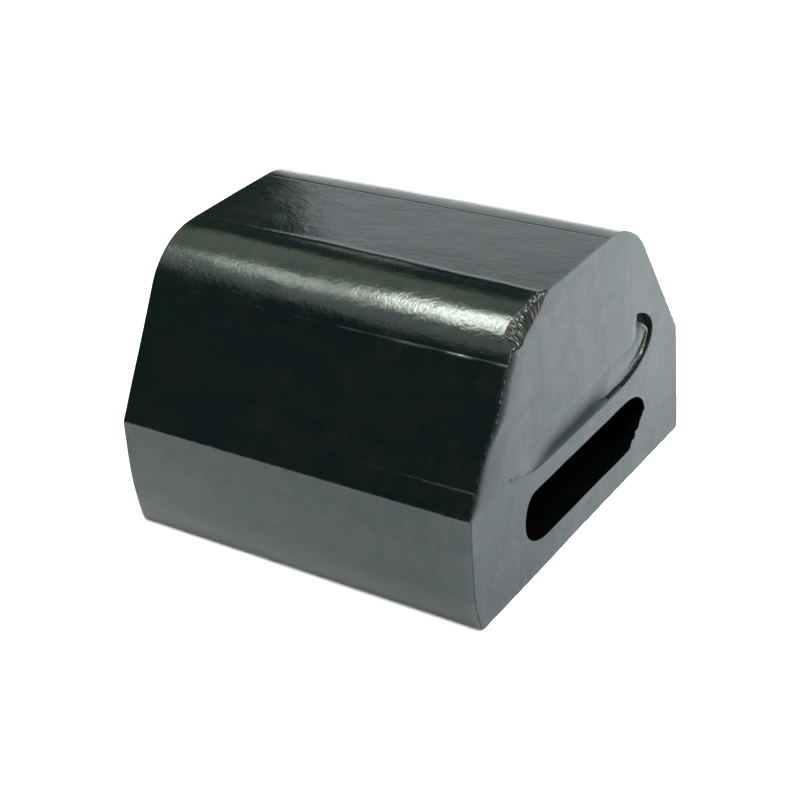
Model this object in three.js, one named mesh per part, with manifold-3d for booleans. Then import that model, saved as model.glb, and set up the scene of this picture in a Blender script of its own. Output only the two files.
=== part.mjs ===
// Rubber fender block: a moulded bumper with a trapezoid section, rounded shoulders, an open
// slot for a flat fixing bar, and a hollow above it that two press-fitted end plugs close.
//
// Millimetres. +X runs along the block, -Y is its front and +Z is up. The origin is at the
// centre of the flat base.
import * as THREE from 'three';
import { mergeVertices } from 'three/addons/utils/BufferGeometryUtils.js';
import Module from 'manifold-3d';

const wasm = await Module();
wasm.setup();

// Block
const LENGTH = 298; // over the crown of the hand-cut ends

// Corners of the right half of its section, from the base up, each with the radius that rounds it
const BASE_EDGE = { y: 145.2, z: 0, radius: 2 };
const BAND_FOOT = { y: 150.2, z: 18, radius: 60 }; // the steep lower band swells out from the base
const BAND_MIDDLE = { y: 151.6, z: 44, radius: 150 }; // and is widest here
const BAND_EDGE = { y: 149.6, z: 86.65, radius: 2 }; // the slanted side starts here
const SHOULDER = { y: 78.5, z: 203.1, radius: 61.1 }; // and meets the flat top through this arc

// Slot for the fixing bar
const SLOT_WIDTH = 178.5;
const SLOT_HEIGHT = 42.5;
const SLOT_FLOOR = 22.5; // thickness of rubber under the slot
const SLOT_OFFSET = 4.25; // the slot lies this far behind the middle
const SLOT_FRONT_END = 22; // half an ellipse of this reach rounds the slot's front side
const SLOT_BACK_END = 29; // and one of this reach its back side

// Hollow above the slot
const HOLLOW_WIDTH = 217;
const HOLLOW_HEIGHT = 52.5;
const HOLLOW_FLOOR = 79.5;
const HOLLOW_END = 58.5;

// Plugs that close the hollow
const PLUG_LENGTH = 42;
const PLUG_GAP = 0.3;
const PLUG_INSET = 2.8; // the plug's high side is this far under the crown of the end
const PLUG_SINK = 10.5; // and its low corner this far
const PLUG_SLOPE_Y = 0.04; // how fast its face rises towards the other side
const PLUG_SLOPE_Z = 0.15; // and towards its top
const PLUG_LOW_CORNER = { y: 100, z: 90 };

const ARC_STEPS = 12;

const blockRubber = new THREE.MeshStandardMaterial({ color: 0x1c2121, roughness: 0.38, metalness: 0 });
const plugRubber = new THREE.MeshStandardMaterial({ color: 0x25292a, roughness: 0.5, metalness: 0 });

// A closed polygon with each corner rounded by an arc of its own radius.
function roundedPolygon(corners) {
  const shape = new THREE.Shape();
  corners.forEach(({ y, z, radius }, index) => {
    const corner = new THREE.Vector2(y, z);
    const before = corners[(index + corners.length - 1) % corners.length];
    const after = corners[(index + 1) % corners.length];
    const back = new THREE.Vector2(before.y, before.z).sub(corner).normalize();
    const ahead = new THREE.Vector2(after.y, after.z).sub(corner).normalize();
    const halfAngle = Math.acos(back.dot(ahead)) / 2;
    const start = corner.clone().addScaledVector(back, radius / Math.tan(halfAngle));
    const end = corner.clone().addScaledVector(ahead, radius / Math.tan(halfAngle));
    const toCentre = back.clone().add(ahead).normalize();
    const centre = corner.clone().addScaledVector(toCentre, radius / Math.sin(halfAngle));
    const startAngle = start.sub(centre).angle();
    const endAngle = end.sub(centre).angle();
    shape.absarc(centre.x, centre.y, radius, startAngle, endAngle, false);
  });
  shape.closePath();
  return shape;
}

// A flat oval in the YZ plane: straight above and below, with half an ellipse at each side.
function flatOval({ centreY, floorZ, width, height, frontEnd, backEnd }) {
  const centreZ = floorZ + height / 2;
  const backY = centreY + width / 2 - backEnd;
  const frontY = centreY - width / 2 + frontEnd;
  const shape = new THREE.Shape();
  shape.absellipse(backY, centreZ, backEnd, height / 2, -Math.PI / 2, Math.PI / 2, false);
  shape.absellipse(frontY, centreZ, frontEnd, height / 2, Math.PI / 2, 1.5 * Math.PI, false);
  shape.closePath();
  return shape;
}

function slotOutline() {
  return flatOval({
    centreY: SLOT_OFFSET,
    floorZ: SLOT_FLOOR,
    width: SLOT_WIDTH,
    height: SLOT_HEIGHT,
    frontEnd: SLOT_FRONT_END,
    backEnd: SLOT_BACK_END,
  });
}

// The hollow's outline, drawn in by a gap all round.
function hollowOutline(gap) {
  return flatOval({
    centreY: 0,
    floorZ: HOLLOW_FLOOR + gap,
    width: HOLLOW_WIDTH - 2 * gap,
    height: HOLLOW_HEIGHT - 2 * gap,
    frontEnd: HOLLOW_END - gap,
    backEnd: HOLLOW_END - gap,
  });
}

// Extrudes a YZ outline along X, from fromX over the given length.
function extrudeAlongX(shape, fromX, length) {
  const geometry = new THREE.ExtrudeGeometry(shape, {
    depth: length,
    bevelEnabled: false,
    curveSegments: ARC_STEPS,
  });
  const axes = new THREE.Matrix4().makeBasis(
    new THREE.Vector3(0, 1, 0),
    new THREE.Vector3(0, 0, 1),
    new THREE.Vector3(1, 0, 0),
  );
  geometry.applyMatrix4(axes);
  geometry.translate(fromX, 0, 0);
  return geometry;
}

function toSolid(geometry) {
  geometry.deleteAttribute('normal');
  geometry.deleteAttribute('uv');
  const merged = mergeVertices(geometry, 1e-4);
  return new wasm.Manifold(new wasm.Mesh({
    numProp: 3,
    vertProperties: new Float32Array(merged.attributes.position.array),
    triVerts: new Uint32Array(merged.index.array),
  }));
}

function toGeometry(solid) {
  const mesh = solid.getMesh();
  const geometry = new THREE.BufferGeometry();
  geometry.setAttribute('position', new THREE.BufferAttribute(mesh.vertProperties, 3));
  geometry.setIndex(new THREE.BufferAttribute(mesh.triVerts, 1));
  return geometry;
}

function namedMesh(name, geometry, material) {
  const mesh = new THREE.Mesh(geometry, material);
  mesh.name = name;
  return mesh;
}

function blockOutline() {
  const half = [BASE_EDGE, BAND_FOOT, BAND_MIDDLE, BAND_EDGE, SHOULDER];
  const mirrored = half.map((corner) => ({ ...corner, y: -corner.y })).reverse();
  return roundedPolygon([...half, ...mirrored]);
}

function makeBody() {
  const past = 10; // the cutters run this far past both ends
  const block = toSolid(extrudeAlongX(blockOutline(), -LENGTH / 2, LENGTH));
  const slot = toSolid(extrudeAlongX(slotOutline(), -LENGTH / 2 - past, LENGTH + 2 * past));
  const hollow = toSolid(extrudeAlongX(hollowOutline(0), -LENGTH / 2 - past, LENGTH + 2 * past));
  return namedMesh('fender_body', toGeometry(block.subtract(slot).subtract(hollow)), blockRubber);
}

// The half space outside the plug's sloping face, as a box that is large beside the plug.
function outsideSlopingFace() {
  const size = 600;
  const outward = new THREE.Vector3(1, PLUG_SLOPE_Y, -PLUG_SLOPE_Z).normalize();
  const low = new THREE.Vector3(LENGTH / 2 - PLUG_SINK, PLUG_LOW_CORNER.y, PLUG_LOW_CORNER.z);
  const box = new THREE.BoxGeometry(size, size, size);
  box.translate(size / 2, 0, 0);
  const turn = new THREE.Quaternion().setFromUnitVectors(new THREE.Vector3(1, 0, 0), outward);
  box.applyQuaternion(turn);
  box.translate(low.x, low.y, low.z);
  return toSolid(box);
}

// One plug, made for the +X end. The other is the same plug, turned half round about Z.
function makePlugGeometry() {
  const inner = LENGTH / 2 - PLUG_INSET - PLUG_LENGTH;
  const blank = toSolid(extrudeAlongX(hollowOutline(PLUG_GAP), inner, PLUG_LENGTH));
  return toGeometry(blank.subtract(outsideSlopingFace()));
}

const fenderBlock = new THREE.Group();
fenderBlock.add(makeBody());

const plugGeometry = makePlugGeometry();
const plugRight = namedMesh('end_plug_right', plugGeometry, plugRubber);
const plugLeft = namedMesh('end_plug_left', plugGeometry, plugRubber);
plugLeft.rotation.z = Math.PI;
fenderBlock.add(plugRight, plugLeft);

export default fenderBlock;
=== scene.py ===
"""Rubber fender block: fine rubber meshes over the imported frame, their materials and a plain studio.

Lengths in the mesh code are in millimetres in the frame's axes: +X along the block, -Y its
front, +Z up. Each mesh is scaled to metres when it is made.
"""
import math

import bmesh
import bpy
import numpy as np
from mathutils import Matrix, Vector
from mathutils.geometry import delaunay_2d_cdt


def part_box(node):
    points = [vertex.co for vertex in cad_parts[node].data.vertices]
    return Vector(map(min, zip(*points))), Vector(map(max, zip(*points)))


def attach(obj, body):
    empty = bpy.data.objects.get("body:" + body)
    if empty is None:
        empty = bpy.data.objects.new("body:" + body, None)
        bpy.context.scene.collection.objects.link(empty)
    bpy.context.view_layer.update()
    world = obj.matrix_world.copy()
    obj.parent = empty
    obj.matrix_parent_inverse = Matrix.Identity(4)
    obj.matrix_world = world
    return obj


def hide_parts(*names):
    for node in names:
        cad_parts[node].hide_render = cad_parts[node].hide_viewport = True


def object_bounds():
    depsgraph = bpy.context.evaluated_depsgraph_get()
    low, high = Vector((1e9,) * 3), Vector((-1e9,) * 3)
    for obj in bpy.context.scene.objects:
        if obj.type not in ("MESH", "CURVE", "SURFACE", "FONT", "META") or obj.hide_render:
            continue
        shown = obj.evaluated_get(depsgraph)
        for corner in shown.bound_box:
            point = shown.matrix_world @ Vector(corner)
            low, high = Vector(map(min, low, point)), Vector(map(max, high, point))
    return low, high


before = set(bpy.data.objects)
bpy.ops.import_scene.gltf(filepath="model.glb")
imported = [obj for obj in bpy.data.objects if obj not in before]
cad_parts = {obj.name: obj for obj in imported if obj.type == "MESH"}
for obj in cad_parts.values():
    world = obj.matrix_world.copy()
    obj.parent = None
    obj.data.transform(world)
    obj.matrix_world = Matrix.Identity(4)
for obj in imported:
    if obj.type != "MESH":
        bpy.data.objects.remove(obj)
cad_low, cad_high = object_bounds()

MM = 0.001
HALF_WIDTH = (cad_high.y - cad_low.y) / 2 / MM
HEIGHT = cad_high.z / MM
CAD_END = cad_high.x / MM

# ---------------------------------------------------------------- driving dimensions
BASE_HALF = 145.2
BAND_HALF = 149.6
BAND_HEIGHT = 86.65
BAND_SWELL = 3.7  # how far the lower bands swell out beyond a straight line
FRONT_CORNER = 78.5  # where the front slanted side would meet the top, with no shoulder
BACK_CORNER = 82.5
SHOULDER_RADIUS = 61.1
BACK_RADIUS = 63.5
BACK_REACH = 36.2  # from the back shoulder's corner to where its arc meets the flat top
TOP_LINE = 44.3  # the mould lines at both edges of the flat top
BAND_EDGE_RADIUS = 1.8
BASE_EDGE_RADIUS = 2.2
TOP_CLEARANCE = 0.35  # the top lies this far under the box, so that its mould lines stay inside
MM_PER_DEGREE = 1.066  # along the front shoulder's arc

END_CROWN = 3.6  # the hand-cut right end swells this far beyond its mean plane
END_PLANE = CAD_END - END_CROWN
LEFT_EDGE_RADIUS = 0.8
RIM_STEPS = 5  # in each quarter round of a rim
TRIM_STEPS = 24  # across the trimmed edge of the right end
TRIM_INNER = 20  # where those change from cut rubber to skin, away from the knife marks
SKIN_RAMP = 26.0  # within this far of each end, the skin's rings crowd together
KNIFE_LEAN = 6.5  # how far round the shoulder the knife marks lean, across the trimmed edge

SLOT_FLOOR = 22.5
SLOT_HEIGHT = 42.3
SLOT_FRONT = -84.4
SLOT_BACK = 92.6
SLOT_REACHES = (15, 28, 28, 32)  # its corners: front top, front bottom, back bottom, back top

HOLLOW_FLOOR = 79.6
HOLLOW_HEIGHT = 52.3
HOLLOW_HALF = 108.2
HOLLOW_REACH = 58.5
PLUG_GAP = 0.01  # the bonded plug all but touches the wall of the hollow
PLUG_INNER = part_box("end_plug_right")[0].x / MM + 0.5
GROOVE_DEPTH = 4.0  # where the plug's edge is deeper than this, an open groove runs along it
LIP_DISTANCE = 6.6  # from the edge to the lip beside the groove
GLUE_BEAD = 4.8  # height and width of the bead of glue in the groove

# Material indices: of the block, and of a plug.
SKIN, CUT, BORE, TRIMMED = range(4)
PLUG_FACE, GLUE = range(2)


# ---------------------------------------------------------------- small maths
def smoothstep(value, low, high):
    t = np.clip((value - low) / (high - low), 0, 1)
    return t * t * (3 - 2 * t)


def bell(value, centre, width):
    return np.exp(-(((value - centre) / width) ** 2))


def waves(points, wavelength, seed, count=14):
    """Smooth values of about -1 to 1, with features of about one wavelength."""
    rng = np.random.default_rng(seed)
    points = np.asarray(points, float)
    directions = rng.normal(size=(count, points.shape[-1]))
    directions /= np.linalg.norm(directions, axis=1)[:, None]
    numbers = 2 * np.pi / (wavelength * rng.uniform(0.7, 1.6, count))
    phases = rng.uniform(0, 2 * np.pi, count)
    total = np.sin(points @ (directions * numbers[:, None]).T + phases).sum(-1)
    return total * math.sqrt(1 / (2 * count)) * 1.4


def graded(length, coarse, fine, growth=0.14):
    """Positions from 0 to length whose steps grow from fine at both ends to coarse."""
    half = [0.0]
    while half[-1] < length / 2:
        half.append(half[-1] + min(coarse, fine + growth * half[-1]))
    half = np.array(half) * (length / 2 / half[-1])
    return np.concatenate([half, length - half[-2::-1]])


def one_way(length, coarse, fine, growth):
    """Positions from 0 to length whose steps grow from fine to coarse."""
    places = [0.0]
    while places[-1] < length:
        places.append(places[-1] + min(coarse, fine + growth * places[-1]))
    return np.array(places) * (length / places[-1])


# ---------------------------------------------------------------- the block's section
def walk_section():
    """Points round the section from the back base corner, up and over to the front, then along
    the base: arrays of y, z, normal y, normal z and distance walked, and marks by name."""
    top = HEIGHT - TOP_CLEARANCE
    corners = [
        (BASE_HALF, 0.0, BASE_EDGE_RADIUS, 0.3),
        (BAND_HALF, BAND_HEIGHT, BAND_EDGE_RADIUS, 0.3),
        (BACK_CORNER, top, BACK_RADIUS, 1.4),
        (-FRONT_CORNER, top, SHOULDER_RADIUS, 0.6),
        (-BAND_HALF, BAND_HEIGHT, BAND_EDGE_RADIUS, 0.3),
        (-BASE_HALF, 0.0, BASE_EDGE_RADIUS, 0.3),
    ]
    names = ["base", "band", "shoulder", "shoulder", "band", "base"]
    points, normals, marks = [], [], {}
    walked, last = 0.0, None

    def put(point, normal):
        nonlocal walked, last
        if last is not None:
            walked += np.linalg.norm(point - last)
        last = point
        points.append((*point, walked))
        normals.append(normal)

    count = len(corners)
    arcs = []
    for index, (y, z, radius, step) in enumerate(corners):
        corner = np.array([y, z])
        back = np.array(corners[index - 1][:2]) - corner
        ahead = np.array(corners[(index + 1) % count][:2]) - corner
        back /= np.linalg.norm(back)
        ahead /= np.linalg.norm(ahead)
        half_angle = math.acos(back @ ahead) / 2
        bisector = (back + ahead) / np.linalg.norm(back + ahead)
        centre = corner + bisector * radius / math.sin(half_angle)
        reach = radius / math.tan(half_angle)
        arcs.append((centre, radius, step, corner + back * reach, corner + ahead * reach))
    for index, (centre, radius, step, start, end) in enumerate(arcs):
        side = "back" if index < 3 else "front"
        first = math.atan2(*(start - centre)[::-1])
        turn = (math.atan2(*(end - centre)[::-1]) - first) % (2 * math.pi)
        steps = max(6, round(turn * radius / step))
        for k in range(steps + 1):
            angle = first + turn * k / steps
            normal = np.array([math.cos(angle), math.sin(angle)])
            put(centre + radius * normal, normal)
            if k in (0, steps):
                marks[f"{side}_{names[index]}_{'start' if k == 0 else 'end'}"] = walked
        following = arcs[(index + 1) % count][3]
        length = np.linalg.norm(following - end)
        along = (following - end) / length
        normal = np.array([along[1], -along[0]])
        coarse = 0.8 if index == 3 else 3.0
        for place in graded(length, coarse, 0.3)[1:-1]:
            put(end + along * place, normal)
    points, normals = np.array(points), np.array(normals)
    return points[:, 0], points[:, 1], normals[:, 0], normals[:, 1], points[:, 2], marks


# ---------------------------------------------------------------- the two ends
def front_edge_y(z):
    """Where the front of the section lies at a height."""
    slope = (BAND_HALF - FRONT_CORNER) / (HEIGHT - BAND_HEIGHT)
    low = -(BASE_HALF + (BAND_HALF - BASE_HALF) * z / BAND_HEIGHT)
    return np.where(z < BAND_HEIGHT, low, -(BAND_HALF - slope * (z - BAND_HEIGHT)))


def band_swell(z):
    """How far the lower band swells out beyond a straight line."""
    share = np.clip(z / BAND_HEIGHT, 0, 1) ** 0.75
    return BAND_SWELL * np.sin(math.pi * share)


def right_end(y, z):
    """X of the hand-cut right end: it swells at the front shoulder and the front base corner,
    and dips a little below that shoulder and along the back."""
    inward = y - front_edge_y(z)
    swell = 2.3 * smoothstep(z, 124, 141) * (1 - smoothstep(z, 178, 196)) + 1.2 * bell(z, 147, 9)
    dip = 0.75 * bell(z, 114, 10)
    back = 1.7 * bell(-front_edge_y(z) - y, 0, 42) * smoothstep(z, 4, 40)
    back *= 1 - 0.7 * smoothstep(z, 165, 195)
    foot = 1.4 * (1 - smoothstep(y, -110, 36)) * (1 - smoothstep(z, 0, 26))
    ripple = 0.04 * waves(np.stack([y, z], -1), 60, seed=5)
    return END_PLANE + (swell - dip) * bell(inward, 0, 30) - back + foot + ripple


def left_end(y, z):
    """X of the left end, which is cut nearly flat and leans out a little towards the top."""
    ripple = 0.15 * waves(np.stack([y, z], -1), 45, seed=9)
    return -CAD_END + 0.9 - 0.7 * smoothstep(z, 120, 185) + np.clip(ripple, -0.15, 0.4)


def flat_oval(front, back, floor, height, reaches, step, gap=0.0):
    """A closed flat oval in YZ. reaches are the four quarter ellipses' reaches: front top, front
    bottom, back bottom, back top. Returns points and normals that point out of the oval."""
    front_top, front_bottom, back_bottom, back_top = reaches
    middle, half = floor + height / 2, height / 2
    quarters = [
        (front + front_top, front_top, math.pi / 2),
        (front + front_bottom, front_bottom, math.pi),
        (back - back_bottom, back_bottom, 1.5 * math.pi),
        (back - back_top, back_top, 2 * math.pi),
    ]
    points, normals = [], []
    for index, (centre_y, reach, start) in enumerate(quarters):
        steps = max(8, round(0.5 * math.pi * (reach + half) / 2 / step))
        last = 1 if index in (0, 2) else 0
        for k in range(steps + 1 - last):
            angle = start + 0.5 * math.pi * k / steps
            normal = np.array([math.cos(angle) / reach, math.sin(angle) / half])
            normal /= np.linalg.norm(normal)
            point = np.array([centre_y + reach * math.cos(angle), middle + half * math.sin(angle)])
            points.append(point - gap * normal)
            normals.append(normal)
        if index in (1, 3):
            length = quarters[(index + 1) % 4][0] - centre_y
            steps = max(2, round(abs(length) / step))
            straight_z = middle + (half - gap) * normal[1]
            for k in range(1, steps):
                points.append(np.array([centre_y + length * k / steps, straight_z]))
                normals.append(np.array([0.0, normal[1]]))
    return np.array(points), np.array(normals)


def slot_oval(step):
    return flat_oval(SLOT_FRONT, SLOT_BACK, SLOT_FLOOR, SLOT_HEIGHT, SLOT_REACHES, step)


def hollow_oval(step, gap=0.0):
    reaches = (HOLLOW_REACH,) * 4
    return flat_oval(-HOLLOW_HALF, HOLLOW_HALF, HOLLOW_FLOOR, HOLLOW_HEIGHT, reaches, step, gap)


def plug_edge_depth(y, z):
    """How far the plug's edge lies under the end face: it sinks along the lower side and most at
    the back, and is flush along the front and most of the top."""
    lower = 3.4 * smoothstep(y, -96, -30) + 1.0 * smoothstep(y, -20, 30) + 3.4 * smoothstep(y, 16, 56)
    upper = 7.8 * smoothstep(y, 80, 102)
    share = smoothstep(z, HOLLOW_FLOOR + 14, HOLLOW_FLOOR + 38)
    return lower * (1 - share) + upper * share


# ---------------------------------------------------------------- mesh building
class Builder:
    """Collects points and faces by index, so that neighbouring surfaces share their points. A
    kind is the index of a face's material."""

    def __init__(self):
        self.blocks, self.wear, self.grime, self.count, self.faces = [], [], [], 0, []

    def add(self, x, y, z, wear=0.0, grime=0.0):
        """Adds points, with how worn they are and how much painted shade they carry, and returns their
        indices.
        """
        points = np.stack(np.broadcast_arrays(x, y, z), -1).reshape(-1, 3)
        self.blocks.append(points)
        self.wear.append(np.broadcast_to(wear, len(points)))
        self.grime.append(np.broadcast_to(grime, len(points)))
        self.count += len(points)
        return np.arange(self.count - len(points), self.count)

    def tube(self, rings, kind=0):
        """Quads between rings of the same length, each ring closed on itself. kind is one
        number, or one for each quad round the rings."""
        rings = np.asarray(rings)
        ahead = np.roll(rings, -1, axis=1)
        quads = np.stack([rings[:-1], ahead[:-1], ahead[1:], rings[1:]], -1)
        kinds = np.broadcast_to(kind, quads.shape[:2]).reshape(-1)
        self.faces += [(tuple(q), k) for q, k in zip(quads.reshape(-1, 4).tolist(), kinds.tolist())]

    def fill(self, loops, surface, spacing, kind=0, fine=None, near=4.0, grime=None):
        """Fills the flat region inside loops[0] and outside the others. Each loop is (indices,
        YZ points), and surface(y, z) gives the X of the points that are added inside, which lie
        fine apart within near of the rims. kind is one number, or a function of the triangles'
        centres. Where rim points lie on one line, slivers of no area can be left out or doubled,
        so the mesh isn't strictly closed there."""
        rims = np.concatenate([points for _, points in loops])
        known = np.concatenate([indices for indices, _ in loops])
        low, high = loops[0][1].min(0), loops[0][1].max(0)
        inside = hex_points(low, high, spacing)
        if fine:
            inside = inside[distance_to(inside, rims) > near]
            rim_points = hex_points(low, high, fine)
            away = distance_to(rim_points, rims)
            rim_points = rim_points[(away > 0.75 * fine) & (away < near - 0.2)]
            inside = np.concatenate([inside, rim_points])
        else:
            inside = inside[distance_to(inside, rims) > 0.7 * spacing]
        inside = inside[in_region(inside, loops)]
        wear = 0.8 * np.exp(-distance_to(inside, rims) / 1.5)
        shade_amount = grime(inside[:, 0], inside[:, 1]) if grime else 0.0
        added = self.add(surface(inside[:, 0], inside[:, 1]), inside[:, 0], inside[:, 1], wear, shade_amount)
        flat = np.concatenate([rims, inside])
        index_of = np.concatenate([known, added])
        edges, start = [], 0
        for indices, _ in loops:
            size = len(indices)
            edges += [(start + k, start + (k + 1) % size) for k in range(size)]
            start += size
        made = delaunay_2d_cdt([Vector(p) for p in flat.tolist()], edges, [], 0, 1e-7)
        verts = np.array([tuple(v) for v in made[0]])
        origin = [o[0] for o in made[3]]
        triangles = np.array(made[2])
        keep = in_region(verts[triangles].mean(1), loops)
        triangles = triangles[keep]
        centres = verts[triangles].mean(1)
        kinds = kind(centres) if callable(kind) else np.full(len(triangles), kind)
        for triangle, k in zip(triangles.tolist(), kinds.tolist()):
            self.faces.append((tuple(int(index_of[origin[v]]) for v in triangle), k))

    def area_normals(self, mesh):
        """Vertex normals weighted by area, so that narrow rims don't tilt the broad faces."""
        points = np.concatenate(self.blocks)
        total = np.zeros_like(points)
        for size in (3, 4):
            faces = np.array([f.vertices[:] for f in mesh.polygons if len(f.vertices) == size])
            a, b, c, d = (points[faces[:, k]] for k in (0, 1, 2, size - 1))
            weight = np.cross(c - a, d - b) if size == 4 else np.cross(b - a, c - a)
            for k in range(size):
                np.add.at(total, faces[:, k], weight)
        length = np.linalg.norm(total, axis=1)
        return (total / np.maximum(length, 1e-12)[:, None]).tolist()

    def make(self, name, materials):
        mesh = bpy.data.meshes.new(name)
        points = np.concatenate(self.blocks) * MM
        mesh.from_pydata(points.tolist(), [], [face for face, _ in self.faces])
        mesh.polygons.foreach_set("material_index", [kind for _, kind in self.faces])
        edit = bmesh.new()
        edit.from_mesh(mesh)
        bmesh.ops.recalc_face_normals(edit, faces=edit.faces)
        edit.to_mesh(mesh)
        edit.free()
        mesh.polygons.foreach_set("use_smooth", [True] * len(mesh.polygons))
        mesh.normals_split_custom_set_from_vertices(self.area_normals(mesh))
        for label, values in (("wear", self.wear), ("grime", self.grime)):
            layer = mesh.attributes.new(label, "FLOAT", "POINT")
            layer.data.foreach_set("value", np.concatenate(values))
        piece = bpy.data.objects.new(name, mesh)
        bpy.context.scene.collection.objects.link(piece)
        for material in materials:
            mesh.materials.append(material)
        return piece


def hex_points(low, high, spacing):
    rows = np.arange(low[1], high[1], spacing * math.sqrt(3) / 2)
    columns = np.arange(low[0], high[0], spacing)
    y, z = np.meshgrid(columns, rows)
    y = y + (np.arange(len(rows)) % 2)[:, None] * spacing / 2
    return np.stack([y, z], -1).reshape(-1, 2)


def distance_to(points, rims):
    nearest = np.full(len(points), np.inf)
    for start in range(0, len(rims), 200):
        block = rims[start:start + 200]
        gap = points[:, None, :] - block[None, :, :]
        nearest = np.minimum(nearest, np.sqrt((gap ** 2).sum(-1)).min(1))
    return nearest


def in_loop(points, loop):
    inside = np.zeros(len(points), bool)
    y, z = points[:, 0], points[:, 1]
    for a, b in zip(loop, np.roll(loop, -1, axis=0)):
        crosses = (a[1] > z) != (b[1] > z)
        with np.errstate(divide="ignore", invalid="ignore"):
            inside ^= crosses & (y < (b[0] - a[0]) * (z - a[1]) / (b[1] - a[1]) + a[0])
    return inside


def in_region(points, loops):
    keep = in_loop(points, loops[0][1])
    for _, hole in loops[1:]:
        keep &= ~in_loop(points, hole)
    return keep


# ---------------------------------------------------------------- the block
def trim_reach(turned, z, front):
    """How far the trimmed edge of the right end reaches along the block and into the end face.
    turned is the angle in degrees from the top round the front shoulder."""
    fade = front * (1 - smoothstep(turned, 40, 48))
    along = 1.2 + fade * (3.9 * smoothstep(turned, -4, 8) + 4.0 * smoothstep(turned, 16, 37))
    inward = 1.4 + fade * (10.4 * smoothstep(turned, -4, 15) - 3.2 * smoothstep(turned, 22, 38))
    slant = smoothstep(z, 126, 142) * (1 - smoothstep(z, 180, 190)) * front
    foot = front * (1 - smoothstep(z, 0, 12))
    return along + 1.2 * slant + 0.9 * foot, inward + 5.0 * slant + 0.4 * foot


def knife_cuts(walk, start, end, seed):
    """Scooped knife cuts side by side along the walk: 0 on the crests, about -1 in the scoops."""
    rng = np.random.default_rng(seed)
    depth = np.zeros_like(walk)
    place = start
    while place < end:
        pitch = rng.uniform(4.3, 5.6)
        share = (walk - place) / pitch
        scoop = np.clip(1 - (2 * share - 1) ** 2, 0, None) * ((share > 0) & (share < 1))
        depth -= scoop * rng.uniform(0.55, 1.0)
        place += pitch
    return depth


def skin_relief(x, walk, marks, points):
    """How far the moulded skin stands proud of the plain section."""
    relief = 0.10 * waves(points * [0.4, 1, 1], 55, seed=21)
    relief += 0.045 * waves(points * [0.6, 1, 1], 17, seed=22)
    # Raised mould lines where the shoulders meet the slanted sides.
    patchy = np.clip(0.5 + 0.35 * waves(x[:, None], 30, seed=23), 0.05, 1)
    flash = (0.12 + 0.2 * smoothstep(x, -10, 100)) * (0.55 + 0.9 * patchy)
    relief += flash * bell(walk, marks["front_shoulder_end"] + 0.3, 0.5)
    relief += 0.3 * bell(walk, marks["back_shoulder_start"] - 0.3, 0.6) * patchy
    # Mould lines beside the flat top: a soft ridge in front, a fine groove behind.
    drift = -3.8 + 6.5 * smoothstep(x, -40, 145) + 0.4 * waves(x[:, None], 60, seed=24)
    ridge = 0.3 + 0.12 * smoothstep(x, 20, 130)
    relief += ridge * bell(walk, marks["front_shoulder_start"] + drift, 2.2)
    relief -= 0.2 * bell(walk, marks["back_shoulder_end"] + BACK_CORNER - BACK_REACH - TOP_LINE, 0.5)
    # The back shoulder is a little fuller half-way along than at the cut ends.
    middle = marks["back_shoulder_start"] * 0.5 + marks["back_shoulder_end"] * 0.5
    relief += (0.4 - ((x - 10) / 140) ** 2) * bell(walk, middle, 26)
    return relief


def edge_grime(y, z):
    """Painted shade: the cut face darkens towards its front edge."""
    inside = y - front_edge_y(z)
    return (1 - 0.3 * smoothstep(inside, 0, 50) - 0.7 * smoothstep(inside, 0, 10)) * smoothstep(z, 84, 96)


def trimmed_rings(section, along, inward, deep):
    """Rings of the right end's trimmed edge, from the end face to the skin. Each ring is x, y, z
    and its share of the skin's relief."""
    y, z, ny, nz, walk, marks = section
    cut_start = marks["front_shoulder_start"] - 3 - KNIFE_LEAN
    cut_end = marks["front_shoulder_start"] + 46
    ragged = (y < 0) & (z > 90) & (z < 176)
    jag = 0.22 * waves(z[:, None], 5.4, seed=33) + 0.2 * waves(z[:, None], 2.3, seed=34)
    jag = np.where(ragged, jag, 0) * smoothstep(z, 90, 97) * (1 - smoothstep(z, 168, 176))
    wander = 0.22 * waves(walk[:, None], 14, seed=35) + 0.08 * waves(walk[:, None], 4, seed=36)
    flat = 0.3 * deep
    rings = []
    for k in range(TRIM_STEPS + 1):
        share = k / TRIM_STEPS
        turn = 0.5 * math.pi * share
        shrink = inward * (flat * (1 - share) + (1 - flat) * (1 - math.sin(turn)))
        back = along * (flat * share + (1 - flat) * (1 - math.cos(turn)))
        skewed = walk - KNIFE_LEAN * (1 - share)
        cuts = knife_cuts(skewed, cut_start, cut_end, seed=31)
        fray = 0.07 * waves(np.stack([skewed, 0 * skewed + 3 * share], -1), 1.6, seed=37)
        scoop = deep * (0.95 * cuts + fray) * smoothstep(share, 0, 0.35) * (1 - smoothstep(share, 0.88, 1))
        inner_y, inner_z = y - ny * shrink, z - nz * shrink
        ring_x = right_end(inner_y, inner_z) - back + 0.5 * scoop
        ring_x = ring_x + (jag + wander) * smoothstep(share, 0.1, 0.6)
        ring_x = ring_x + deep * 0.7 * cuts * smoothstep(share, 0.6, 1)
        rings.append((ring_x, inner_y + ny * 0.6 * scoop, inner_z + nz * 0.6 * scoop, share))
    return rings


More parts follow.
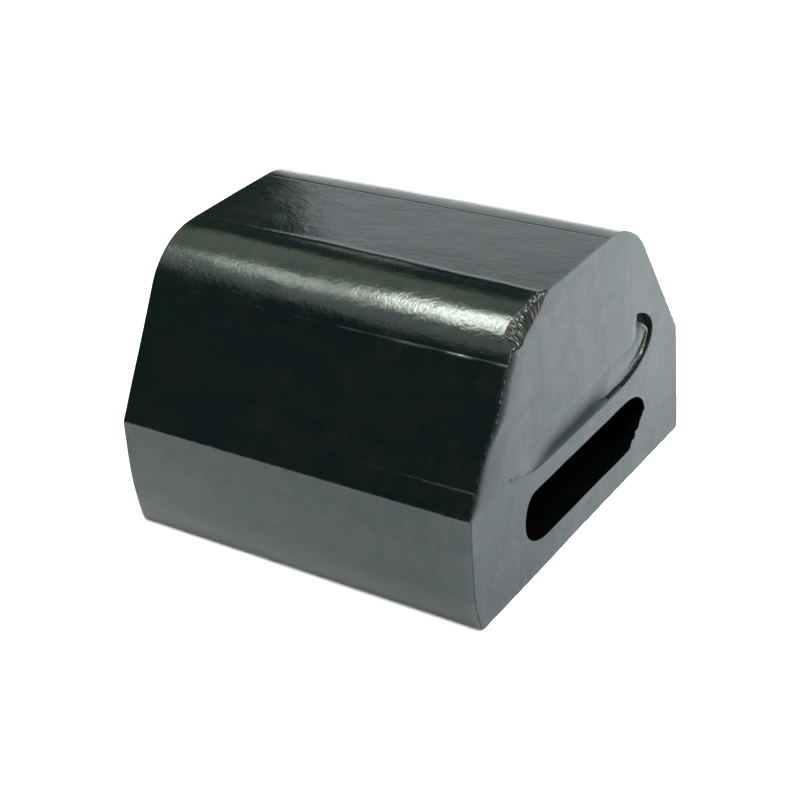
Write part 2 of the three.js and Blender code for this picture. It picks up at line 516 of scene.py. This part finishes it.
def skin_rings(y, z, skin_start):
    """Rings of the moulded skin, from the trimmed edge to the left end's rounded edge, and the X
    where they start to crowd together towards that edge."""
    rings = []
    for place in one_way(1.0, 0.08, 0.02, 0.25)[1:]:
        rings.append((skin_start + (END_PLANE - SKIN_RAMP - skin_start) * place, y, z, 1.0))
    for place in graded(END_PLANE + CAD_END - 2 * SKIN_RAMP, 2.5, 2.0)[1:]:
        rings.append((END_PLANE - SKIN_RAMP - place + 0 * y, y, z, 1.0))
    ramp_start = rings[-1][0]
    skin_end = left_end(y, z) + LEFT_EDGE_RADIUS
    for place in (1 - one_way(1.0, 0.12, 0.03, 0.25)[::-1])[1:]:
        rings.append((ramp_start + (skin_end - ramp_start) * place, y, z, 1.0))
    return rings, ramp_start


def left_edge_rings(y, z, ny, nz):
    """Rings of the left end's rounded edge, from the skin to the end face."""
    rings = []
    for k in range(1, RIM_STEPS + 1):
        turn = 0.5 * math.pi * k / RIM_STEPS
        shrink = LEFT_EDGE_RADIUS * (1 - math.cos(turn))
        inner_y, inner_z = y - ny * shrink, z - nz * shrink
        ring_x = left_end(inner_y, inner_z) + LEFT_EDGE_RADIUS * (1 - math.sin(turn))
        rings.append((ring_x, inner_y, inner_z, 1 - k / RIM_STEPS))
    return rings


def corner_wear(walk, marks):
    """How worn the long edges of the lower bands are."""
    worn = np.zeros_like(walk)
    for side in ("front", "back"):
        corner = (marks[f"{side}_band_start"] + marks[f"{side}_band_end"]) / 2
        worn += 0.6 * bell(walk, corner, 1.4)
        worn += 0.5 * bell(walk, marks[f"{side}_base_start"], 3)
    return worn


def make_body(materials):
    builder = Builder()
    section = walk_section()
    y, z, ny, nz, walk, marks = section
    front = y < 0
    turned = np.where(z > 130, np.degrees(np.arctan2(-ny, nz)), 90)
    on_flat = (nz > 0.9999) & front
    turned = np.where(on_flat, -(y + TOP_LINE) / MM_PER_DEGREE, turned)
    along, inward = trim_reach(turned, z, front)
    deep = np.clip((np.minimum(along, inward) - 0.9) / 4, 0, 1)

    rings = trimmed_rings(section, along, inward, deep)
    skin_start = rings[-1][0]
    skin, ramp_start = skin_rings(y, z, skin_start)
    rings += skin + left_edge_rings(y, z, ny, nz)
    long_edges = corner_wear(walk, marks)
    indices, flats = [], []
    for ring_x, ring_y, ring_z, share in rings:
        points = np.stack([ring_x, ring_y, ring_z], -1)
        relief = share * skin_relief(ring_x, walk, marks, points)
        relief = np.where(nz < -0.9, np.minimum(relief, 0) * 0.5, relief)
        sides = np.where(np.abs(ring_y) > 140, np.sign(ring_y), 0)
        swell = band_swell(ring_z) * np.where(ring_y < 0, 1, 0.75)
        lean = (0.35 + 1.3 * ring_x / CAD_END) * (1 - 0.7 * smoothstep(ring_z, 10, 80))
        new_y = ring_y + ny * relief + sides * (swell + lean * (ring_y < 0))
        new_y = np.clip(new_y, -HALF_WIDTH, HALF_WIDTH)
        new_z = np.clip(ring_z + nz * relief, 0, HEIGHT)
        new_x = np.clip(ring_x, -CAD_END, CAD_END)
        from_end = np.minimum(skin_start - ring_x, ring_x - ramp_start + SKIN_RAMP)
        trim = (from_end < 0) & front
        wear = long_edges + np.where(trim, 0.1, 0.7) * np.exp(-np.clip(from_end, 0, None) / 2.5)
        indices.append(builder.add(new_x, new_y, new_z, wear, edge_grime(new_y, new_z)))
        flats.append(np.stack([new_y, new_z], -1))
    trimmed = (deep > 0.12) & (turned < 50)
    builder.tube(indices[:TRIM_INNER + 1], np.where(trimmed, TRIMMED, CUT))
    builder.tube(indices[TRIM_INNER:TRIM_STEPS + 1], np.where(trimmed, TRIMMED, SKIN))
    builder.tube(indices[TRIM_STEPS:], SKIN)

    slot = slot_bore(builder)
    hollow = hollow_bore(builder)
    right_loops = [(indices[0], flats[0]), slot[0], hollow[0]]
    left_loops = [(indices[-1], flats[-1]), slot[1], hollow[1]]
    builder.fill(right_loops, right_end, spacing=2.2, kind=CUT, fine=1.1, grime=edge_grime)
    builder.fill(left_loops, left_end, spacing=2.8, kind=CUT, fine=1.4)
    return builder.make("fender_block", materials)


def bore(builder, kind, loop, normals, rims, right_surface, left_surface, warp=None):
    """A hole right through, with rounded rims, which are arrays of radius at each end. Returns
    the rings of points at its two ends."""
    turns = [0.5 * math.pi * k / RIM_STEPS for k in range(RIM_STEPS + 1)]
    half = one_way(1.0, 0.09, 0.008, 0.3)[1:] * 0.5
    stations = [("right", 1 - math.sin(turn), 1 - math.cos(turn)) for turn in turns]
    stations += [("middle", place, 0) for place in (*half[:-1], *(1 - half[::-1]))]
    stations += [("left", 1 - math.sin(turn), 1 - math.cos(turn)) for turn in reversed(turns)]
    rings = []
    right_radius, left_radius = rims
    start = right_surface(loop[:, 0], loop[:, 1]) - right_radius
    end = left_surface(loop[:, 0], loop[:, 1]) + left_radius
    for side, a, b in stations:
        if side == "right":
            flat = loop + normals * (right_radius * a)[:, None]
            x = right_surface(flat[:, 0], flat[:, 1]) - right_radius * b
        elif side == "left":
            flat = loop + normals * (left_radius * a)[:, None]
            x = left_surface(flat[:, 0], flat[:, 1]) + left_radius * b
        else:
            flat = loop
            x = start + (end - start) * a
        if warp is not None:
            flat = warp(x, flat)
        # Painted shade: the walls darken inwards from each mouth.
        depth = np.minimum(start + right_radius - x, x - end + left_radius)
        rings.append((builder.add(x, flat[:, 0], flat[:, 1], 0, smoothstep(depth, 0.5, 2.5)), flat))
    loops = [indices for indices, _ in rings]
    builder.tube(loops[:RIM_STEPS + 1], CUT)
    builder.tube(loops[RIM_STEPS:-RIM_STEPS], kind)
    builder.tube(loops[-RIM_STEPS - 1:], CUT)
    return rings[0], rings[-1]


def slot_bore(builder):
    loop, normals = slot_oval(1.2)
    radius = 0.45 + 0.12 * waves(loop, 30, seed=41)

    def warp(x, flat):
        """Leaves a ridge of rubber along the back lower corner of the right mouth."""
        low = np.array([66.8, SLOT_FLOOR])
        high = np.array([SLOT_BACK + 0.2, 44.6])
        across = np.array([high[1] - low[1], low[0] - high[0]])
        across = across / np.linalg.norm(across)
        beyond = (flat - low) @ across
        keep = smoothstep(x, END_PLANE - 30, END_PLANE - 6)
        wobble = 0.8 * waves(flat, 7, seed=42) + 0.4 * waves(flat, 3, seed=44)
        push = np.clip(beyond + wobble * smoothstep(beyond, -0.5, 3), 0, None) * keep
        flat = flat - push[:, None] * across
        return flat + 0.12 * waves(np.column_stack([x, flat]), 40, seed=43)[:, None]

    return bore(builder, BORE, loop, normals, (radius, radius), right_end, left_end, warp)


def hollow_bore(builder):
    """The hollow. Its rim is sharp where a plug is flush with it and a little worn elsewhere."""
    loop, normals = hollow_oval(1.1)

    def rim(y, z):
        return 0.01 + 0.6 * smoothstep(plug_edge_depth(y, z), 0.7, 3)

    right, left = rim(loop[:, 0], loop[:, 1]), rim(-loop[:, 0], loop[:, 1])
    wall = np.where(np.abs(loop[:, 0]) > 58, TRIMMED, CUT)
    return bore(builder, wall, loop, normals, (right, left), right_end, left_end)


# ---------------------------------------------------------------- the plugs
def soft_valley(depth, distance):
    """How far the plug's face sinks at a distance from a shallow edge of a given depth."""
    near = np.clip(depth, 0, GROOVE_DEPTH)
    valley = near * (0.35 * np.clip(1 - distance / 40, 0, 1) ** 1.5)
    return valley + near * 0.65 * np.exp(-(distance / 14) ** 1.8)


def lipped_groove(depth, distance, y, wander):
    """How far it sinks beside a deep edge: a flat-floored groove, and a lip with two fine lines."""
    lip = LIP_DISTANCE + 2.2 * smoothstep(y, 60, 96)
    lip_depth = 1.9 * np.clip(1 - distance / (lip + 13), 0, 1) ** 1.3
    lip_depth -= 0.7 * bell(distance, lip + wander, 1.2)
    lip_depth += 1.1 * bell(distance, lip + 2.6 + wander, 0.9) * smoothstep(y, 62, 84)
    lip_depth += 0.6 * bell(distance, lip + 5.4 + wander, 0.9) * smoothstep(y, 70, 90)
    floor_width = lip - 2.6 + 0.3 * wander
    groove = depth * (1 - smoothstep(distance, floor_width, floor_width + 2.0))
    return np.maximum(lip_depth, groove)


def glue_fillet(depth, distance, open_groove):
    """How high the glue stands in the corner between a shallow edge and the hollow's wall."""
    fillet = np.clip(depth * 0.4, 0, 1.7) * (1 - open_groove)
    share = np.clip(distance / np.maximum(fillet, 0.01), 0, 1)
    return fillet * (1 - np.sqrt(np.clip(1 - (1 - share) ** 2, 0, 1))) * (share < 1)


def glue_bead(distance, z, open_groove):
    """How high the bead of glue stands in the groove: it thins out towards the top."""
    bead = GLUE_BEAD * open_groove * (1 - 0.75 * smoothstep(z, 94, 110))
    return bead * np.clip(1 - distance / GLUE_BEAD, 0, 1) ** 1.05


def plug_sink(y, z, loop):
    """How far the plug's face, inside its outline, lies under the plane of the end: it has a soft
    valley along the lower side, which turns into a groove beside a lip at the back."""
    points = np.stack([y, z], -1)
    edge_depth = plug_edge_depth(loop[:, 0], loop[:, 1])
    gap = points[:, None, :] - loop[None, :, :]
    away = np.sqrt((gap ** 2).sum(-1))
    distance = away.min(1)
    weight = np.exp(-((away - distance[:, None]) / 2.5) ** 2)
    depth = (weight * edge_depth).sum(1) / weight.sum(1)
    open_groove = smoothstep(depth, GROOVE_DEPTH, GROOVE_DEPTH + 2.2)
    wander = 0.35 * waves(points, 11, seed=52)
    sunk = soft_valley(depth, distance) * (1 - open_groove)
    sunk = sunk + lipped_groove(depth, distance, y, wander) * open_groove
    sunk = sunk - glue_fillet(depth, distance, open_groove)
    return np.maximum(sunk - glue_bead(distance, z, open_groove), 0)


def make_plug(name, side, materials):
    """The plug of the right end (side 1) or of the left end (side -1), turned half round."""
    builder = Builder()
    loop, _ = hollow_oval(1.1, PLUG_GAP)

    def face(y, z):
        end = right_end(y, z) if side > 0 else -left_end(-y, z)
        return end - plug_sink(y, z, loop)

    # Painted shade: the plug's face darkens as it sinks into its valley and groove.
    def grime(y, z):
        return smoothstep(plug_sink(side * y, z, loop), 0, 3.4)

    rings = [(face(loop[:, 0], loop[:, 1]), loop)]
    outer = rings[0][0]
    rings.append((outer - 0.02, loop))
    for place in one_way(1.0, 0.2, 0.03, 0.3)[1:]:
        rings.append((outer + (PLUG_INNER - outer) * place, loop))
    # Painted shade on the plug's side, matching its face at the edge.
    rim_shade = grime(side * loop[:, 0], loop[:, 1])
    indices = [builder.add(side * x, side * flat[:, 0], flat[:, 1], 0, rim_shade) for x, flat in rings]
    builder.tube(indices, PLUG_FACE)

    def placed(surface):
        return lambda y, z: side * surface(side * y, z)

    mirrored = loop * [side, 1]

    def face_kind(centres):
        """Glue beside the open groove, and cut rubber elsewhere."""
        y, z = centres[:, 0] * side, centres[:, 1]
        beside = plug_edge_depth(y, z) > 6.4
        near = distance_to(centres, mirrored) < 6 + 5 * smoothstep(y, 60, 96)
        return np.where(beside & near, GLUE, PLUG_FACE)

    def inner_face(y, z):
        return PLUG_INNER + 0 * y

    outer_loop, inner_loop = (indices[0], mirrored), (indices[-1], mirrored)
    builder.fill([outer_loop], placed(face), 2.0, face_kind, fine=0.65, near=15.0, grime=grime)
    builder.fill([inner_loop], placed(inner_face), 9.0, PLUG_FACE)
    return builder.make(name, materials)


# ---------------------------------------------------------------- materials
CUT_SPECULAR = 0.085

# Dark smudges on the right end, and painted shade: centre, radii (mm) and strength.
CUT_SMUDGES_AND_SHADE = (
    ((END_PLANE, -100, 91), (9, 4.2, 3.2), 1.0),
    ((END_PLANE, -93, 88), (9, 8, 4.5), 0.55),
    ((END_PLANE, 4, 14), (9, 9, 4.5), 0.35),
    ((END_PLANE, -34, 12), (9, 5, 3), 0.3),
    ((END_PLANE, -80, 134), (9, 22, 9), 0.22),
    # Painted shade: a broad darkening of the end face's lower front.
    ((END_PLANE, -110, 10), (30, 130, 90), 0.3),
    ((END_PLANE, 40, 158), (9, 26, 5), 0.16),
)
# Dark marks on the right plug: centre, radii (mm) and strength. The first is painted shade along the
# plug's sunken lower edge.
PLUG_SMUDGES_AND_SHADE = (
    ((END_PLANE - 3, -15, 90), (9, 70, 13), 0.35),
    ((END_PLANE, -93, 88), (9, 8, 4.5), 0.5),
    ((END_PLANE, -70, 100), (9, 18, 8), 0.15),
)


class Rubber:
    """A rubber material built from nodes over a Principled shader."""

    def __init__(self, name, specular):
        self.material = bpy.data.materials.new(name)
        self.material.use_nodes = True
        self.tree = self.material.node_tree
        self.shader = self.tree.nodes["Principled BSDF"]
        self.shader.inputs["Specular IOR Level"].default_value = specular
        self.shader.inputs["IOR"].default_value = 1.5
        self.place = self.node("ShaderNodeTexCoord").outputs["Object"]

    def node(self, kind, **settings):
        made = self.tree.nodes.new(kind)
        for key, value in settings.items():
            setattr(made, key, value)
        return made

    def feed(self, socket, value):
        if isinstance(value, bpy.types.NodeSocket):
            self.tree.links.new(value, socket)
        else:
            socket.default_value = value

    def noise(self, size, stretch=(1, 1, 1), detail=2.0, roughness=0.55, distortion=0.0, shift=0.0):
        """Noise of about 0 to 1 with features of a size in millimetres, stretched along axes."""
        mapping = self.node("ShaderNodeMapping")
        self.feed(mapping.inputs["Vector"], self.place)
        mapping.inputs["Location"].default_value = (shift, 0.7 * shift, -0.4 * shift)
        mapping.inputs["Scale"].default_value = tuple(1 / (size * MM * s) for s in stretch)
        made = self.node("ShaderNodeTexNoise")
        self.feed(made.inputs["Vector"], mapping.outputs["Vector"])
        made.inputs["Scale"].default_value = 1.0
        made.inputs["Detail"].default_value = detail
        made.inputs["Roughness"].default_value = roughness
        made.inputs["Distortion"].default_value = distortion
        return made.outputs["Fac"]

    def math(self, operation, a, b=0.0, clamp=False):
        made = self.node("ShaderNodeMath", operation=operation, use_clamp=clamp)
        self.feed(made.inputs[0], a)
        self.feed(made.inputs[1], b)
        return made.outputs[0]

    def ramp(self, value, low, high, start=0.0, end=1.0):
        """Maps low to high onto start to end, smoothly and clamped."""
        made = self.node("ShaderNodeMapRange", interpolation_type="SMOOTHSTEP")
        self.feed(made.inputs["Value"], value)
        for key, number in (("From Min", low), ("From Max", high), ("To Min", start), ("To Max", end)):
            made.inputs[key].default_value = number
        return made.outputs["Result"]

    def mix(self, factor, first, second, blend="MIX"):
        made = self.node("ShaderNodeMix", data_type="RGBA", blend_type=blend)
        self.feed(made.inputs["Factor"], factor)
        for socket, colour in ((made.inputs["A"], first), (made.inputs["B"], second)):
            self.feed(socket, (*colour, 1) if isinstance(colour, tuple) else colour)
        return made.outputs["Result"]

    def total(self, *terms):
        """The sum of values times weights, given as (value, weight) pairs."""
        result = 0.0
        for value, weight in terms:
            result = self.math("ADD", self.math("MULTIPLY", value, weight), result)
        return result

    def worn(self, noise, amount):
        """The mesh's wear, broken up by noise."""
        attribute = self.node("ShaderNodeAttribute", attribute_name="wear")
        patchy = self.ramp(noise, 0.35, 0.65, 0.25, 1.0)
        return self.math("MULTIPLY", self.math("MULTIPLY", attribute.outputs["Fac"], patchy), amount)

    def spot(self, centre, radii):
        """1 at a centre in millimetres, falling to 0 at the radii."""
        mapping = self.node("ShaderNodeMapping", vector_type="TEXTURE")
        self.feed(mapping.inputs["Vector"], self.place)
        mapping.inputs["Location"].default_value = tuple(c * MM for c in centre)
        mapping.inputs["Scale"].default_value = tuple(r * MM for r in radii)
        length = self.node("ShaderNodeVectorMath", operation="LENGTH")
        self.feed(length.inputs[0], mapping.outputs["Vector"])
        return self.ramp(length.outputs["Value"], 1.0, 0.0)

    def finish(self, colour, roughness, height, tint):
        """Connects the shader and returns the material. height is in millimetres."""
        self.feed(self.shader.inputs["Base Color"], colour)
        self.feed(self.shader.inputs["Roughness"], roughness)
        self.feed(self.shader.inputs["Specular Tint"], tint)
        bump = self.node("ShaderNodeBump")
        bump.inputs["Distance"].default_value = MM
        self.feed(bump.inputs["Height"], height)
        self.feed(self.shader.inputs["Normal"], bump.outputs["Normal"])
        return self.material


def moulded_rubber():
    """Glossy black skin with a fine leathery grain, faint stains and worn edges."""
    rubber = Rubber("moulded_rubber", 0.5)
    grain = rubber.noise(2.1, (1.2, 1, 1), 3.0, 0.6, 0.3)
    fine = rubber.noise(0.9, detail=2.0, shift=3.0)
    ripples = rubber.noise(11, (1.4, 1, 1), 2.0, 0.5, 0.6, shift=5.0)
    patches = rubber.noise(30, (1.3, 1, 1), 4.0, 0.6, 0.8, shift=9.0)
    stains = rubber.noise(13, detail=3.0, roughness=0.6, distortion=1.0, shift=14.0)
    comb = rubber.noise(1.6, (1, 1.8, 1.8), 2.0, 0.5, 0.2, shift=27.0)
    shoulder = rubber.spot((0, -80, 188), (900, 50, 50))
    combed = rubber.math("MULTIPLY", comb, shoulder)
    wear = rubber.worn(grain, 0.8)
    mottle = rubber.ramp(patches, 0.42, 0.62)
    colour = rubber.mix(mottle, (0.0014, 0.0042, 0.004), (0.0026, 0.0045, 0.0036))
    colour = rubber.mix(rubber.ramp(stains, 0.56, 0.74, 0, 0.5), colour, (0.0065, 0.0068, 0.0048))
    colour = rubber.mix(rubber.ramp(wear, 0.1, 0.9), colour, (0.03, 0.034, 0.034))
    roughness = rubber.total(
        (rubber.ramp(patches, 0.35, 0.65, -1, 1), 0.025), (rubber.ramp(stains, 0.35, 0.65, -1, 1), 0.02),
        (grain, 0.05), (wear, 0.12), (1.0, 0.135))
    height = rubber.total((grain, 0.12), (fine, 0.012), (ripples, 0.2), (combed, 0.09))
    tint = rubber.mix(rubber.ramp(stains, 0.38, 0.62), (0.64, 0.92, 0.95), (0.83, 0.98, 0.98))
    return rubber.finish(colour, roughness, height, tint)


def cut_rubber(name, smudges_and_shade):
    """Matt grey cut face with soft smears, faint saw marks and lighter edges, and painted shade from a
    mesh attribute and some smudge entries.
    """
    rubber = Rubber(name, CUT_SPECULAR)
    fine = rubber.noise(0.9, detail=2.0, shift=31.0)
    grain = rubber.noise(2.6, detail=3.0, roughness=0.6, shift=33.0)
    saw = rubber.noise(1.3, (1, 9, 1), 2.0, 0.5, 0.2, shift=35.0)
    blotches = rubber.noise(11, (1, 1, 1.3), 3.0, 0.55, 0.5, shift=37.0)
    smears = rubber.noise(34, (1, 1, 1.6), 3.0, 0.55, 0.8, shift=41.0)
    dust = rubber.noise(7, (1, 1.8, 1), 4.0, 0.6, 0.6, shift=47.0)
    wear = rubber.worn(grain, 0.7)
    colour = rubber.mix(rubber.ramp(smears, 0.38, 0.62), (0.029, 0.036, 0.038), (0.036, 0.040, 0.045))
    colour = rubber.mix(rubber.ramp(blotches, 0.52, 0.66, 0, 0.55), colour, (0.027, 0.039, 0.038))
    colour = rubber.mix(rubber.ramp(dust, 0.56, 0.74, 0, 0.35), colour, (0.049, 0.052, 0.055))
    dark = 0.0
    # Smudges darken the colour and dim the gloss; the entries that stand for painted shade do the same.
    for centre, radii, strength in smudges_and_shade:
        mark = rubber.math("MULTIPLY", rubber.spot(centre, radii), rubber.ramp(grain, 0.3, 0.6, 0.3, 1))
        dark = rubber.math("MAXIMUM", rubber.math("MULTIPLY", mark, strength), dark)
    colour = rubber.mix(dark, colour, (0.011, 0.015, 0.016))
    colour = rubber.mix(rubber.ramp(wear, 0.05, 0.7, 0, 0.5), colour, (0.062, 0.066, 0.068))
    # Painted shade, read from a mesh attribute, darkens the walls inside the hollow, the plug's sunken
    # edge and the end face near its front edge, and dims the gloss there.
    grime = rubber.node("ShaderNodeAttribute", attribute_name="grime").outputs["Fac"]
    shade_amount = rubber.math("MULTIPLY", grime, 0.8)
    colour = rubber.mix(shade_amount, colour, (0.007, 0.009, 0.010))
    roughness = rubber.total((blotches, 0.16), (grain, 0.08), (1.0, 0.36))
    unmarked = rubber.math("SUBTRACT", 1.0, rubber.math("MAXIMUM", dark, shade_amount))
    gloss = rubber.math("MULTIPLY", unmarked, CUT_SPECULAR)
    rubber.feed(rubber.shader.inputs["Specular IOR Level"], gloss)
    height = rubber.total((fine, 0.03), (grain, 0.05), (saw, 0.03), (smears, 0.5))
    return rubber.finish(colour, roughness, height, (0.88, 0.96, 1.0, 1))


def trimmed_rubber():
    """Satin rubber of the knife-trimmed edge and of the hollow's mouth."""
    rubber = Rubber("trimmed_rubber", 0.28)
    fine = rubber.noise(0.7, detail=2.0, shift=51.0)
    grain = rubber.noise(2.4, detail=3.0, roughness=0.6, shift=53.0)
    patches = rubber.noise(12, detail=2.0, shift=57.0)
    colour = rubber.mix(rubber.ramp(patches, 0.4, 0.6), (0.005, 0.009, 0.009), (0.012, 0.012, 0.009))
    colour = rubber.mix(rubber.ramp(grain, 0.5, 0.8, 0, 0.5), colour, (0.022, 0.026, 0.027))
    # Painted shade, read from a mesh attribute, darkens the hollow's wall inwards and the trimmed edge
    # near the front.
    grime = rubber.node("ShaderNodeAttribute", attribute_name="grime").outputs["Fac"]
    colour = rubber.mix(grime, colour, (0.005, 0.008, 0.009))
    roughness = rubber.total((grain, 0.14), (1.0, 0.16))
    height = rubber.total((fine, 0.02), (grain, 0.04))
    return rubber.finish(colour, roughness, height, (1, 0.97, 0.86, 1))


def glue():
    """The glossy bead of glue round the back of a plug."""
    rubber = Rubber("glue", 0.22)
    grain = rubber.noise(2.8, detail=3.0, roughness=0.6, shift=71.0)
    colour = rubber.mix(rubber.ramp(grain, 0.4, 0.6), (0.003, 0.005, 0.006), (0.010, 0.009, 0.005))
    roughness = rubber.total((grain, 0.16), (1.0, 0.1))
    return rubber.finish(colour, roughness, rubber.total((grain, 0.14)), (1, 1, 0.96, 1))


def shade_painted_bore_rubber():
    """Rubber inside the slot, painted matt and near-black as the slot's shade."""
    rubber = Rubber("shade_painted_bore_rubber", 0.02)
    grain = rubber.noise(3, detail=3.0, roughness=0.6, shift=61.0)
    colour = rubber.mix(rubber.ramp(grain, 0.4, 0.7), (0.0001, 0.0001, 0.0001), (0.0003, 0.0004, 0.0004))
    roughness = rubber.total((grain, 0.2), (1.0, 0.6))
    return rubber.finish(colour, roughness, rubber.total((grain, 0.15)), (0.9, 1, 1, 1))


# ---------------------------------------------------------------- studio and camera
CAMERA_PLACE = Vector((0.6677, -0.9361, 0.7115))
CAMERA_FORWARD = Vector((-0.51106, 0.70592, -0.49040))
CAMERA_RIGHT = Vector((0.83250, 0.54850, -0.07802))
CAMERA_LENS = 80.24  # mm, on a 36 mm wide sensor


def make_camera():
    """The camera, placed, aimed and rolled as solved from the block's own edges."""
    camera = bpy.data.objects.new("camera", bpy.data.cameras.new("camera"))
    bpy.context.scene.collection.objects.link(camera)
    back = -CAMERA_FORWARD.normalized()
    right = (CAMERA_RIGHT - CAMERA_RIGHT.dot(back) * back).normalized()
    turn = Matrix((right, back.cross(right), back)).transposed().to_4x4()
    camera.matrix_world = Matrix.Translation(CAMERA_PLACE) @ turn
    camera.data.lens = CAMERA_LENS
    camera.data.sensor_width = 36
    camera.data.clip_start = 0.01
    camera.data.clip_end = 100
    bpy.context.scene.camera = camera


def softbox(name, place, target, width, height, radiance, colour=(1, 1, 1)):
    """A rectangular soft light of a given brightness, which the camera doesn't see directly."""
    light = bpy.data.lights.new(name, "AREA")
    light.shape = "RECTANGLE"
    light.size = width
    light.size_y = height
    light.energy = radiance * math.pi * width * height
    light.color = colour
    lamp = bpy.data.objects.new(name, light)
    bpy.context.scene.collection.objects.link(lamp)
    lamp.location = place
    lamp.rotation_mode = "QUATERNION"
    lamp.rotation_quaternion = (Vector(target) - Vector(place)).to_track_quat("-Z", "Y")
    lamp.visible_camera = False
    return lamp


def sun(name, direction, strength):
    """A broad, distant light that comes from a direction."""
    light = bpy.data.lights.new(name, "SUN")
    light.energy = strength
    light.angle = math.radians(20)
    lamp = bpy.data.objects.new(name, light)
    bpy.context.scene.collection.objects.link(lamp)
    lamp.rotation_mode = "QUATERNION"
    lamp.rotation_quaternion = Vector(direction).to_track_quat("Z", "Y")
    return lamp


def make_studio():
    bpy.context.scene.view_settings.view_transform = "Standard"
    world = bpy.data.worlds.new("studio")
    bpy.context.scene.world = world
    world.use_nodes = True
    background = world.node_tree.nodes["Background"]
    background.inputs["Color"].default_value = (0.85, 1, 0.95, 1)
    background.inputs["Strength"].default_value = 0.05

    mesh = bpy.data.meshes.new("floor")
    mesh.from_pydata([(-20, -20, 0), (20, -20, 0), (20, 20, 0), (-20, 20, 0)], [], [(0, 1, 2, 3)])
    floor = bpy.data.objects.new("floor", mesh)
    floor.location.z = -0.0002
    bpy.context.scene.collection.objects.link(floor)
    paint = bpy.data.materials.new("floor_paint")
    paint.use_nodes = True
    shader = paint.node_tree.nodes["Principled BSDF"]
    shader.inputs["Base Color"].default_value = (0.88, 0.88, 0.88, 1)
    shader.inputs["Roughness"].default_value = 0.9
    shader.inputs["Specular IOR Level"].default_value = 0
    mesh.materials.append(paint)

    softbox("back_softbox", (-0.20, 0.78, 0.43), (-0.20, 0.0, 0.43), 1.0, 0.72, 1.17, (0.97, 0.98, 1))
    softbox("overhead_softbox", (-0.65, 0.20, 1.1), (-0.2, 0.1, 0.2), 0.6, 0.64, 1.12, (0.95, 1, 0.80))
    softbox("key_softbox", (-0.37, -0.27, 1.0), (0.03, -0.08, 0.19), 0.24, 0.09, 40.0, (1, 0.88, 0.78))
    softbox("near_softbox", (-0.28, -0.15, 1.0), (0.03, -0.08, 0.19), 0.16, 0.20, 27.0, (1, 0.88, 0.78))
    softbox("low_softbox", (-0.63, -0.25, 1.0), (-0.1, -0.08, 0.19), 0.28, 0.10, 11.0, (1, 0.95, 0.80))
    softbox("fill_softbox", (-0.65, -0.50, 1.0), (-0.05, -0.08, 0.19), 0.9, 0.34, 1.5, (1, 0.95, 0.88))
    softbox("side_softbox", (1.2, 0.45, 1.15), (0.14, 0, 0.15), 1.2, 0.9, 1.4)
    softbox("corner_softbox", (1.4, -0.8, 0.45), (0.14, -0.1, 0.12), 1.0, 0.6, 0.9)
    softbox("rim_softbox", (1.03, 0.24, 0.94), (0.14, 0, 0.15), 0.14, 0.14, 150.0, (1, 1, 0.95))
    lamp = softbox("end_lamp", (0.70, 0.60, 0.50), (0.14, 0.1, 0.1), 0.3, 0.3, 66.0)
    lamp.visible_glossy = False
    sun("top_sun", (0.3, -0.1, 0.95), 3.2)
    sun("front_sun", (0.35, -0.65, 0.67), 1.4)
    side = sun("side_sun", (0.87, -0.22, 0.44), 0.8)
    side.visible_glossy = False


def main():
    make_camera()
    make_studio()
    skin, cut = moulded_rubber(), cut_rubber("cut_rubber", CUT_SMUDGES_AND_SHADE)
    body = make_body([skin, cut, shade_painted_bore_rubber(), trimmed_rubber()])
    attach(body, "root")
    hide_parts("fender_body")
    plug_materials = [cut_rubber("plug_rubber", PLUG_SMUDGES_AND_SHADE), glue()]
    for name, side in (("end_plug_right", 1), ("end_plug_left", -1)):
        plug = make_plug(name.replace("end_", "fine_end_"), side, plug_materials)
        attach(plug, "root")
        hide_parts(name)


main()
